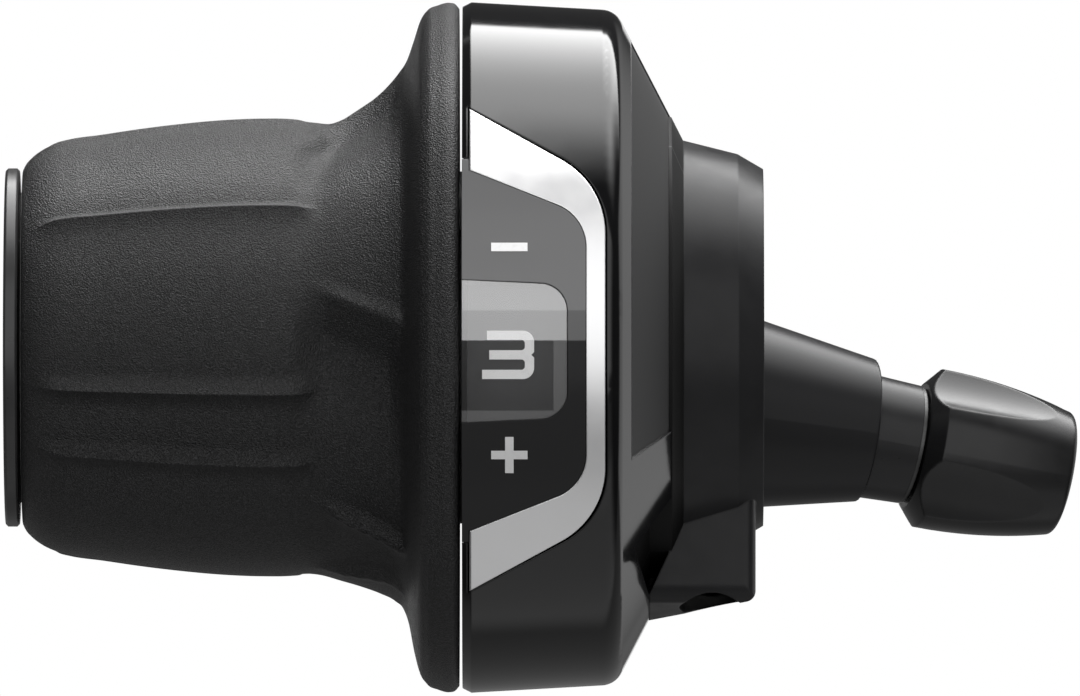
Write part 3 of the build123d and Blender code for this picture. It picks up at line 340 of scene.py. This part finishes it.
def tone_share(tree, place, line):
    """Nought below a level line and one above it, with a narrow soft edge."""
    return rising(tree, axis_value(tree, place, "Z"), around(line, line_softness))


def smoked_lens():
    """A painted reflection in three tones by height, the top one fading darker upwards, under a clear
    polished face.
    """
    material, tree, shader, place = start_material("smoked_lens")
    # The three tones and the fade of the top one are a painted reflection of the studio lights.
    fade = rising(tree, axis_value(tree, place, "Z"), reflection_fade_heights)
    tone = blend_colours(tree, fade, painted_reflection_upper, painted_reflection_faded)
    tone = blend_colours(tree, tone_share(tree, place, upper_reflection_line), painted_reflection_middle, tone)
    tone = blend_colours(tree, tone_share(tree, place, reflection_line), painted_reflection_low, tone)
    shine = spread(tree, cloud(tree, place, lens_patch_size, detail=3.0), *lens_shine)
    connect(tree, shader, {"Base Color": tone, "Roughness": shine, "Normal": rounded_normal(tree, lens_edge)})
    shader.inputs["Specular IOR Level"].default_value = lens_specular
    return material


finish_nodes(smoked_lens(), "display_panel")


# Gear window: a clear pane set flush into the panel in front of the dial, with the same painted reflection as
# a thin veil, so that the number behind it stays bright. Its rim is bevelled behind, and a thicker veil there
# paints it a little paler.
rim_end_x, rim_low_z = 7.45 * mm, -4.75 * mm
low_reflection_veil, rim_reflection_veil, middle_reflection_veil, upper_reflection_veil = 0.042, 0.15, 0.3, 0.38
veil_grey, veil_white = (0.86, 0.86, 0.87), (0.92, 0.92, 0.92)
haze_size, haze_shine = 1.1 * mm, (0.22, 0.27)


def clear_pane():
    """A clear pane with a veil of painted reflection, whose share goes by height and is larger on the rim, at
    the far end and at the foot of the pane. The veil is silvery above the reflection line and white below it;
    light passes to the dial unhindered."""
    material, tree, shader, place = start_material("clear_pane")
    # The veil's share by height paints the reflection's horizon on the pane.
    above_line = tone_share(tree, place, reflection_line)
    veil_above = mix_values(tree, tone_share(tree, place, upper_reflection_line), middle_reflection_veil, upper_reflection_veil)
    at_end = rising(tree, axis_value(tree, place, "X"), around(rim_end_x, line_softness))
    at_foot = falling(tree, axis_value(tree, place, "Z"), around(rim_low_z, line_softness))
    veil_below = mix_values(tree, calculate(tree, "MAXIMUM", at_end, at_foot), low_reflection_veil, rim_reflection_veil)
    veil = mix_values(tree, above_line, veil_below, veil_above)
    behind = add_node(tree, "ShaderNodeNewGeometry").outputs["Backfacing"]
    path = add_node(tree, "ShaderNodeLightPath").outputs
    lighting = calculate(tree, "MAXIMUM", path["Is Shadow Ray"], path["Is Diffuse Ray"])
    shown = calculate(tree, "SUBTRACT", 1.0, calculate(tree, "MAXIMUM", behind, lighting))
    haze = cloud(tree, place, haze_size, detail=3.0)
    connect(tree, shader, {"Base Color": blend_colours(tree, haze, veil_grey, veil_white),
                           "Metallic": above_line,
                           "Roughness": spread(tree, haze, *haze_shine),
                           "Alpha": all_of(tree, shown, veil),
                           "Normal": rounded_normal(tree, lens_edge)})
    return material


finish_nodes(clear_pane(), "gear_window")


# Display bezel: the C-shaped trim round the panel, set flush into the cover. It is moulded plastic with
# satin chrome plating that shows faint polishing haze.
chrome_grey, chrome_white = (0.8, 0.8, 0.81), (0.86, 0.86, 0.86)
chrome_patch_size, chrome_shine, chrome_edge = 1.9 * mm, (0.35, 0.39), 0.15 * mm
polish_size, polish_depth = 0.1 * mm, 0.001 * mm


def satin_chrome():
    """Satin chrome: bright metal whose shine is clouded by slow noise and brushed by fine noise."""
    material, tree, shader, place = start_material("satin_chrome")
    clouded = cloud(tree, place, chrome_patch_size, detail=3.0)
    connect(tree, shader, {"Base Color": blend_colours(tree, clouded, chrome_grey, chrome_white),
                           "Roughness": spread(tree, clouded, *chrome_shine)})
    shader.inputs["Metallic"].default_value = 1.0
    polish = cloud(tree, place, polish_size, detail=2.0)
    raise_skin(tree, shader, polish, polish_depth, rounded_normal(tree, chrome_edge))
    return material


finish_nodes(satin_chrome(), "display_bezel")


# Grip: soft black rubber moulded over the sleeve, with long ridges on the barrel and slanted fins in the
# flare. Its tool was sandblasted, so the whole skin is grainy and matt, and paler on the raised grains.
# Its lengths are in millimetres and its angles in degrees.
nose_x, nose_end_x, barrel_end_x, face_x = -35.3, -33.0, -13.6, -0.125
nose_rows, barrel_rows, flare_rows, face_rows = 16, 70, 104, 6
bore_radius, bore_x = 14.22, (-12.0, -24.0, nose_x)
flare_line = np.array([
    (-35.3, 14.3), (-35.15, 14.62), (-34.6, 15.28), (-33.9, 15.83), (-33.0, 16.3), (-31.5, 16.72),
    (-29.0, 17.08), (-25.9, 17.55), (-22.7, 17.95), (-19.4, 18.26), (-16.2, 18.4), (-13.6, 18.36),
    (-11.8, 18.14), (-10.4, 18.08), (-9.4, 18.47), (-8.15, 19.2), (-6.9, 20.05), (-5.7, 21.2), (-4.9, 22.2),
    (-4.3, 23.3), (-3.8, 24.75), (-3.3, 26.3), (-2.7, 27.2), (-1.9, 27.58), (-0.9, 27.8), (-0.45, 27.68),
    (-0.125, 27.3)])
fin_line = np.array([
    (-35.3, 14.3), (-13.6, 18.36), (-12.2, 18.3), (-11.4, 18.42), (-9.8, 18.88), (-8.15, 19.36),
    (-6.5, 19.95), (-5.3, 20.55), (-4.6, 21.2), (-4.2, 22.3), (-3.8, 24.4), (-3.3, 26.3), (-2.7, 27.2)])
fin_line_middle, fin_line_half, fin_line_fade = -25.0, 70.0, 105.0

# Each fin has its angle at the foot of the flare, its slant and the reach of the slant as a share of the
# fin's length, then the height of its lip and the depth of the scoop below it.
fins = ((73.0, 12.0, 0.4, 0.25, 1.2), (15.2, -30.0, 3.1, 0.7, 1.5), (-42.0, -21.0, 3.0, 1.1, 0.9),
        (-75.0, 18.0, 3.0, 0.5, 0.1), (-124.0, -27.0, 3.0, 0.5, 0.9), (-169.0, -27.0, 3.0, 0.5, 0.9),
        (133.0, -27.0, 3.0, 0.5, 0.6))
fin_start_x, fin_end_x = -11.9, -4.7
lip_upper_width, lip_lower_width = 3.8, 6.0
lip_rise, lip_fall = (-0.1, 0.45), (0.94, 1.08)
scoop_offset, scoop_upper_width, scoop_lower_width = 11.5, 6.5, 16.0
scoop_rise, scoop_fall = (-0.3, 0.25), (0.85, 1.1)

# Each ridge has its angle, its height and the width of the ramp above its crest.
ridges = ((-140.4, 0.8, 4.4), (-105.0, 0.8, 4.4), (-29.5, 0.7, 3.2), (-10.9, 0.8, 4.0), (37.8, 0.45, 2.0),
          (82.0, 0.25, 3.0), (128.5, 0.8, 4.4), (150.5, 0.8, 4.4), (168.5, 0.8, 4.4))
ridge_lower_width = 5.5
ridge_rise, ridge_fall = (-34.6, -32.2), (-13.2, -11.2)
ridge_columns = np.arange(-1.5, 0.6, 0.25)

coarse_grain, fine_grain, rubber_patch_size = 0.17 * mm, 0.1 * mm, 6.0 * mm
dark_rubber, black_rubber, speckle_grey = (0.004, 0.004, 0.0042), (0.006, 0.006, 0.0062), (0.03, 0.03, 0.031)
speckle_limits, shine_limits = (0.9, 1.3), (0.7, 1.3)
hollow_roughness, raised_roughness, rubber_specular = 0.48, 0.34, 0.41
rubber_grain_depth = 0.13 * mm


def smooth_line(points, at):
    """A smooth curve through points: between two neighbours a cubic whose end slopes are the mean slopes
    there."""
    x, y = points[:, 0], points[:, 1]
    slope = np.gradient(y, x)
    left = np.clip(np.searchsorted(x, at) - 1, 0, len(x) - 2)
    width = x[left + 1] - x[left]
    t = np.clip((at - x[left]) / width, 0, 1)
    rise = (2 * t**3 - 3 * t**2 + 1) * y[left] + (3 * t**2 - 2 * t**3) * y[left + 1]
    bend = (t**3 - 2 * t**2 + t) * slope[left] + (t**3 - t**2) * slope[left + 1]
    return rise + width * bend


def soft_step(value, start, end):
    """Zero before start, one after end, and a smooth rise between."""
    t = np.clip((value - start) / (end - start), 0, 1)
    return t * t * (3 - 2 * t)


def plateau(value, rise, fall):
    """A smooth rise from zero to one between the limits of rise, and back to zero between those of fall."""
    return soft_step(value, *rise) * (1 - soft_step(value, *fall))


def angle_apart(first, second):
    """The signed difference of two angles in degrees, from -180 to 180."""
    return (first - second + 180) % 360 - 180


def ramp_and_drop(above, upper_width, lower_width):
    """One on the crest: a straight ramp over the upper width above it, and below it a parabola that is
    steepest at the crest and runs out level at the lower width."""
    ramp = np.clip(1 - above / upper_width, 0, 1)
    drop = np.clip(1 + above / lower_width, 0, 1) ** 2
    return np.where(above > 0, ramp, drop)


def grip_radius(x, angle):
    """Radius of the rubber at x along the bar and an angle round it: the flare, which takes the straighter
    fin line in front and below, a thin raised lip along each slanted fin with a scoop hollowed below it,
    and a ridge at each ridge angle. A fin's angle bends as the hyperbolic tangent of the way along it. A
    scoop is a bell curve of the angle, wider on its lower side; lips and ridges rise in a ramp and fall
    off sharply."""
    flare = smooth_line(flare_line, x)
    straighter = np.where((x > fin_line[1, 0]) & (x < fin_line[-1, 0]), smooth_line(fin_line, x), flare)
    from_middle = np.abs(angle_apart(angle, fin_line_middle))
    radius = flare + (straighter - flare) * (1 - soft_step(from_middle, fin_line_half, fin_line_fade))
    along = (x - fin_start_x) / (fin_end_x - fin_start_x)
    lip_share = plateau(along, lip_rise, lip_fall)
    scoop_share = plateau(along, scoop_rise, scoop_fall)
    for first_angle, slant, slant_reach, lip_height, scoop_depth in fins:
        above = angle_apart(angle, first_angle + slant * np.tanh(along / slant_reach))
        lip = ramp_and_drop(above, lip_upper_width, lip_lower_width)
        from_scoop = above + scoop_offset
        scoop_width = np.where(from_scoop > 0, scoop_upper_width, scoop_lower_width)
        scoop = np.exp(-((from_scoop / scoop_width) ** 2))
        radius = radius + lip_height * lip * lip_share - scoop_depth * scoop * scoop_share
    ridge = np.zeros_like(x)
    for ridge_angle, height, upper_width in ridges:
        above = angle_apart(angle, ridge_angle)
        ridge = ridge + height * ramp_and_drop(above, upper_width, ridge_lower_width)
    return radius + ridge * plateau(x, ridge_rise, ridge_fall)


def closed_surface(name, grid):
    """A mesh from a grid of points whose rows and columns both close on themselves, with smooth faces."""
    rows, columns = grid.shape[:2]
    index = np.arange(rows * columns).reshape(rows, columns)
    down = np.roll(index, -1, axis=0)
    corners = np.stack([index, np.roll(index, -1, axis=1), np.roll(down, -1, axis=1), down], axis=-1)
    corners = corners.reshape(-1, 4)
    mesh = bpy.data.meshes.new(name)
    mesh.vertices.add(rows * columns)
    mesh.vertices.foreach_set("co", (grid * mm).astype(np.float32).ravel())
    mesh.loops.add(corners.size)
    mesh.loops.foreach_set("vertex_index", corners.astype(np.int32).ravel())
    mesh.polygons.add(len(corners))
    mesh.polygons.foreach_set("loop_start", np.arange(0, corners.size, 4, dtype=np.int32))
    mesh.update(calc_edges=True)
    mesh.validate()
    mesh.polygons.foreach_set("use_smooth", np.ones(len(corners), dtype=bool))
    piece = bpy.data.objects.new(name, mesh)
    bpy.context.scene.collection.objects.link(piece)
    return piece


def grip_surface():
    """The rubber as one closed sleeve: out along the shaped skin, down the face by the housing, and back in
    the bore. It has a column every degree round the bar, and finer ones on the drop of each ridge."""
    skin_x = np.concatenate([np.linspace(nose_x, nose_end_x, nose_rows, endpoint=False),
                             np.linspace(nose_end_x, barrel_end_x, barrel_rows, endpoint=False),
                             np.linspace(barrel_end_x, face_x, flare_rows)])
    ridge_angle = np.array(ridges)[:, :1]
    angle = np.concatenate([np.arange(-180.0, 180.0), (ridge_angle + ridge_columns).ravel()])
    angle = np.unique(np.round(angle, 3))
    x, turn = np.meshgrid(skin_x, angle, indexing="ij")
    radius = grip_radius(x, turn)
    face_radius = np.linspace(flare_line[-1, 1], bore_radius, face_rows)[1:]
    plain_x = np.concatenate([np.full(len(face_radius), face_x), bore_x])
    plain_radius = np.concatenate([face_radius, np.full(len(bore_x), bore_radius)])
    ones = np.ones_like(angle)
    x = np.concatenate([x, plain_x[:, None] * ones])
    radius = np.concatenate([radius, plain_radius[:, None] * ones])
    turn = np.radians(np.broadcast_to(angle, x.shape))
    return closed_surface("grip_skin", np.stack([x, -radius * np.cos(turn), radius * np.sin(turn)], axis=-1))


def sandblasted_rubber():
    """Matt rubber: two sizes of noise make the blasted grain, which also speckles the colour and the shine,
    and slow noise varies the black."""
    material, tree, shader, place = start_material("sandblasted_rubber")
    coarse = cloud(tree, place, coarse_grain, detail=2.0)
    fine = cloud(tree, place, fine_grain, detail=1.0)
    grain = calculate(tree, "ADD", coarse, fine)
    patches = cloud(tree, place, rubber_patch_size, detail=3.0)
    tone = blend_colours(tree, rising(tree, patches), dark_rubber, black_rubber)
    skin = blend_colours(tree, rising(tree, grain, speckle_limits), tone, speckle_grey)
    shine = spread(tree, grain, hollow_roughness, raised_roughness, shine_limits)
    connect(tree, shader, {"Base Color": skin, "Roughness": shine})
    shader.inputs["Specular IOR Level"].default_value = rubber_specular
    raise_skin(tree, shader, grain, rubber_grain_depth)
    return material


grip_skin = grip_surface()
grip_skin.data.materials.append(sandblasted_rubber())
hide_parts("grip_rubber")
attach(grip_skin, "grip")


# Retainer ring: the snap ring on the end of the core tube that keeps the grip on.
# It is moulded in dark grey plastic with a satin skin.
ring_grey = moulded_plastic("ring_grey_plastic", colour=(0.035, 0.035, 0.0355),
                            worn_colour=(0.08, 0.08, 0.08), roughness=0.3, specular=0.42,
                            grain=0.2 * mm, grain_depth=0.004 * mm, edge=0.15 * mm)
finish_nodes(ring_grey, "retainer_ring")


# Adjuster tube: the dull black stub between the outlet and the knob.
# It is moulded in nylon like the bracket and pressed into the outlet.
tube_black = moulded_plastic("tube_black_nylon", colour=(0.024, 0.024, 0.025), worn_colour=(0.05, 0.05, 0.05),
                             roughness=0.3, specular=0.2, grain=0.16 * mm, grain_depth=0.004 * mm,
                             edge=0.12 * mm)
finish_nodes(tube_black, "adjuster_tube")


# Adjuster washer and bolt: turned aluminium, the thin ring under the knob, coloured dark as painted shade in
# the gap between tube and knob, and the bare hollow bolt that takes the end of the cable casing.
turned_aluminium = bare_metal("turned_aluminium", colour=(0.62, 0.62, 0.62), roughness=0.28,
                              mark_size=0.1 * mm, mark_depth=0.002 * mm)
# The ring's dark colour is painted shade for the narrow gap between tube and knob.
painted_shade_ring = bare_metal("painted_shade_ring_metal", colour=(0.09, 0.09, 0.09), roughness=0.42,
                       mark_size=0.1 * mm, mark_depth=0.002 * mm)
finish_nodes(turned_aluminium, "adjuster_bolt")
finish_nodes(painted_shade_ring, "adjuster_washer")


# Adjuster knob: the fluted finger knob, which turns on the end of the tube and drives the bolt.
# It is moulded in half-gloss black plastic.
knob_black = moulded_plastic("knob_black_plastic", colour=(0.014, 0.014, 0.0145),
                             worn_colour=(0.035, 0.035, 0.035), roughness=0.24, specular=0.32,
                             grain=0.3 * mm, grain_depth=0.002 * mm, edge=0.3 * mm)
finish_nodes(knob_black, "adjuster_knob")


# Floor: a plain pale table top well below the part. It shows to the camera with the part's soft shadow,
# and the light from below is set in the world.
floor_half, floor_level = 1.2, -0.075
floor_grey, floor_pale, floor_mottle = (0.3, 0.3, 0.3), (0.32, 0.32, 0.32), 0.04
floor_roughness = 0.8


def pale_floor():
    """A square sheet facing up, with a faint mottle in its paint."""
    mesh = bpy.data.meshes.new("floor")
    corners = [(-1, -1), (1, -1), (1, 1), (-1, 1)]
    mesh.from_pydata([(x * floor_half, y * floor_half, floor_level) for x, y in corners], [], [(0, 1, 2, 3)])
    material, tree, shader, place = start_material("pale_floor")
    mottle = cloud(tree, place, floor_mottle, detail=3.0)
    connect(tree, shader, {"Base Color": blend_colours(tree, mottle, floor_grey, floor_pale)})
    shader.inputs["Roughness"].default_value = floor_roughness
    mesh.materials.append(material)
    piece = bpy.data.objects.new("floor", mesh)
    bpy.context.scene.collection.objects.link(piece)
    piece.visible_diffuse = False
    piece.visible_glossy = False
    return piece


pale_floor()


# Studio light: a long softbox overhead with a soft near edge and a crisp far edge, a card behind the
# camera, a lit floor and white cards beside and behind, all as parts of one world sky.

# Each light has its strength, the angles round the bar where it starts and ends, and where it starts and
# ends along the bar, as the X of the direction.
bar_lights = {
    "softbox": (5.1, (57.0, 92.0), (137.5, 139.5), (-0.38, -0.18), (0.5, 0.85)),
    "softbox_far_part": (2.0, (98.0, 130.0), (137.5, 139.5), (-0.38, -0.18), (0.5, 0.85)),
    "front_card": (1.3, (-14.0, -9.0), (45.0, 49.0), (-1.05, -0.75), (0.6, 0.85)),
    "lit_floor": (0.5, (-113.0, -101.0), (-62.0, -36.0), (-0.25, -0.03), (0.6, 0.85)),
    "low_front": (0.25, (-62.0, -50.0), (-14.0, -9.0), (-0.2, -0.02), (0.6, 0.85)),
    "far_floor": (0.16, (-178.0, -170.0), (-113.0, -101.0), (-3.0, -2.0), (2.0, 3.0)),
}

# Each card has its strength, the compass angles where it starts and ends, and the height where it ends.
side_card = (1.15, (4.0, 62.0), (76.0, 88.0), (0.3, 0.42))
back_card = (1.0, (-30.0, -10.0), (10.0, 30.0), (0.06, 0.09))
fill_light = 0.05


def band(tree, value, rise, fall):
    """One in the band and nought outside it, with smooth edges between the limits of rise and of fall."""
    return all_of(tree, rising(tree, value, rise, "SMOOTHSTEP"), falling(tree, value, fall, "SMOOTHSTEP"))


def studio_sky():
    """Brightness by direction: each light is a band of the angle round the bar axis and of the way along
    it, and each white card is a band of the compass angle close to the horizon. The card behind the part is
    seen only in mirrored light, and the camera sees plain white."""
    world = bpy.data.worlds.new("studio")
    bpy.context.scene.world = world
    world.use_nodes = True
    tree = world.node_tree
    direction = add_node(tree, "ShaderNodeTexCoord").outputs["Generated"]
    along, across, up = (axis_value(tree, direction, axis) for axis in "XYZ")
    round_bar = angle_round_bar(tree, direction)
    compass = calculate(tree, "DEGREES", calculate(tree, "ARCTAN2", along, across))
    height = calculate(tree, "ABSOLUTE", up)
    light = fill_light
    for strength, rise, fall, left, right in bar_lights.values():
        lit = all_of(tree, band(tree, round_bar, rise, fall), band(tree, along, left, right), strength)
        light = calculate(tree, "ADD", light, lit)
    cards = []
    for strength, rise, fall, top in (side_card, back_card):
        low = falling(tree, height, top, "SMOOTHSTEP")
        cards.append(all_of(tree, band(tree, compass, rise, fall), low, strength))
    beside, behind = cards
    light = calculate(tree, "MAXIMUM", light, beside)
    path = add_node(tree, "ShaderNodeLightPath").outputs
    mirrored = calculate(tree, "MAXIMUM", path["Is Glossy Ray"], path["Is Transmission Ray"])
    white = calculate(tree, "MAXIMUM", path["Is Camera Ray"], all_of(tree, mirrored, behind))
    background = tree.nodes["Background"]
    background.inputs["Color"].default_value = (1.0, 1.0, 1.0, 1.0)
    tree.links.new(mix_values(tree, white, light, 1.0), background.inputs["Strength"])


studio_sky()
bpy.context.scene.view_settings.view_transform = "Standard"


# Camera: far off with a very long lens, level with the bar and a trace above it, as the part was pictured.
frame_width = 87.1 * mm
frame_centre = (6.37 * mm, 0.0, -0.04 * mm)
camera_rise = math.radians(0.6)
camera_data = bpy.data.cameras.new("camera")
camera_data.lens = 1000.0
camera_data.sensor_width = 36.0
camera_distance = frame_width * camera_data.lens / camera_data.sensor_width
camera_data.clip_start = 0.1
camera_data.clip_end = 3 * camera_distance
camera = bpy.data.objects.new("camera", camera_data)
bpy.context.scene.collection.objects.link(camera)
camera.location = (frame_centre[0], frame_centre[1] - camera_distance * math.cos(camera_rise),
                   frame_centre[2] + camera_distance * math.sin(camera_rise))
camera.rotation_euler = (math.radians(90) - camera_rise, 0.0, 0.0)
bpy.context.scene.camera = camera
